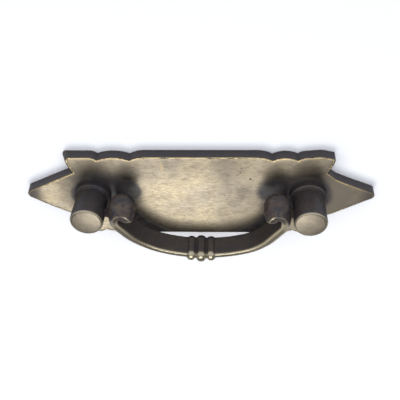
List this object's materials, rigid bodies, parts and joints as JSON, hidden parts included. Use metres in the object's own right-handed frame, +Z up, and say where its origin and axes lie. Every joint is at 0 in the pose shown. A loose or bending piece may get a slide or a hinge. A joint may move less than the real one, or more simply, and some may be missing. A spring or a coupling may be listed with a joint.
{
  "type": "drop pull",
  "caption": "Cast brass drop pull: a long pointed backplate with scalloped edges, a post near each end, and a bowed bail with rolled scroll ends that swings between the posts.",
  "frame": {"origin": "centre of the backplate's flat back, midway between its two points", "axes": "+X along the plate towards its right point seen from the front, +Y out of the plate's back into the drawer front, +Z up, with the bail hanging towards -Z"},
  "size_m": [0.123, 0.019, 0.0443],
  "materials": {
    "worn_brass": "aged brass with the dark patina rubbed off its flat face",
    "dark_brass": "aged brass with a dark brown patina, bright on its worn edges"
  },
  "bodies": {
    "base": {"backplate": "worn_brass", "post_left": "dark_brass", "post_right": "dark_brass"},
    "bail": {"bail": "dark_brass"}
  },
  "joints": [
    {"name": "bail_swing", "type": "hinge", "parent": "base", "child": "bail", "pos_m": [0, -0.013, 0.0008], "axis": [-1, 0, 0], "range_deg": [-3, 205]}
  ]
}
